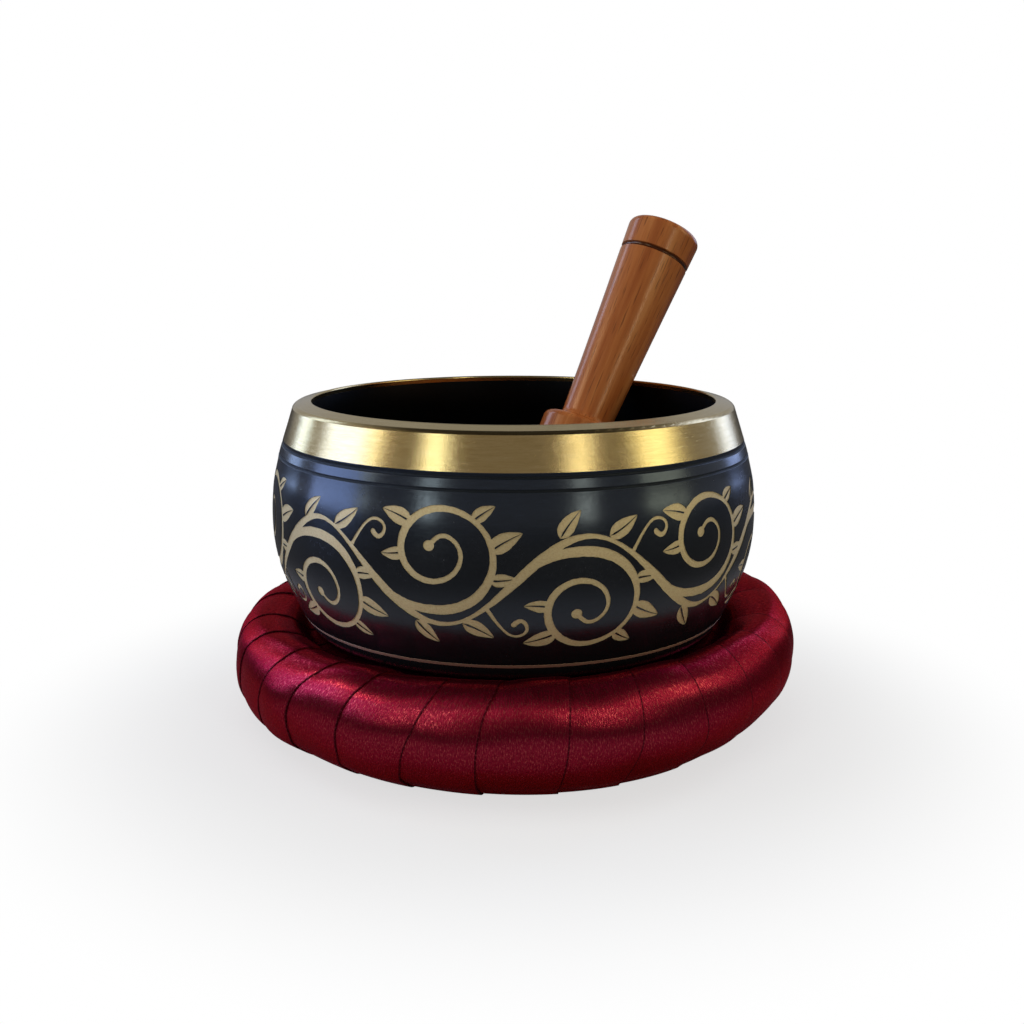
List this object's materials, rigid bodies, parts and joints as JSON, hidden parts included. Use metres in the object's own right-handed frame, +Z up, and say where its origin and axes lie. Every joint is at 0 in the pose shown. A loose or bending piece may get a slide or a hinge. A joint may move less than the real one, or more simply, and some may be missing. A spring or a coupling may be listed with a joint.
{
  "type": "singing bowl",
  "caption": "Round brass singing bowl with a dark lacquered wall and bare rim band, a turned wooden mallet leaning in it, and a ribbon-wrapped ring cushion.",
  "frame": {"origin": "centre of the cushion's underside, on the surface the set stands on, on the bowl's axis", "axes": "+Z up along the bowl's axis; the mallet's handle leans out over the rim between +X and +Y"},
  "size_m": [0.166, 0.166, 0.1471],
  "materials": {
    "brass": "turned and lightly brushed",
    "lacquer": "semi-gloss",
    "wood": "lacquered",
    "stuffing": "packed cotton",
    "satin_ribbon": "satin"
  },
  "bodies": {
    "cushion": {"cushion_core": "stuffing", "ribbon_wrap": "satin_ribbon"},
    "bowl": {"bowl": "brass", "wall_lacquer": "lacquer", "base_lacquer": "lacquer", "inner_lacquer": "lacquer"},
    "mallet": {"mallet": "wood"}
  },
  "joints": [
    {"name": "bowl_lift", "type": "slide", "parent": "cushion", "child": "bowl", "axis": [0, 0, 1], "range_m": [0, 0.05]},
    {"name": "mallet_lift", "type": "slide", "parent": "bowl", "child": "mallet", "axis": [0, 0, 1], "range_m": [0, 0.08]}
  ]
}
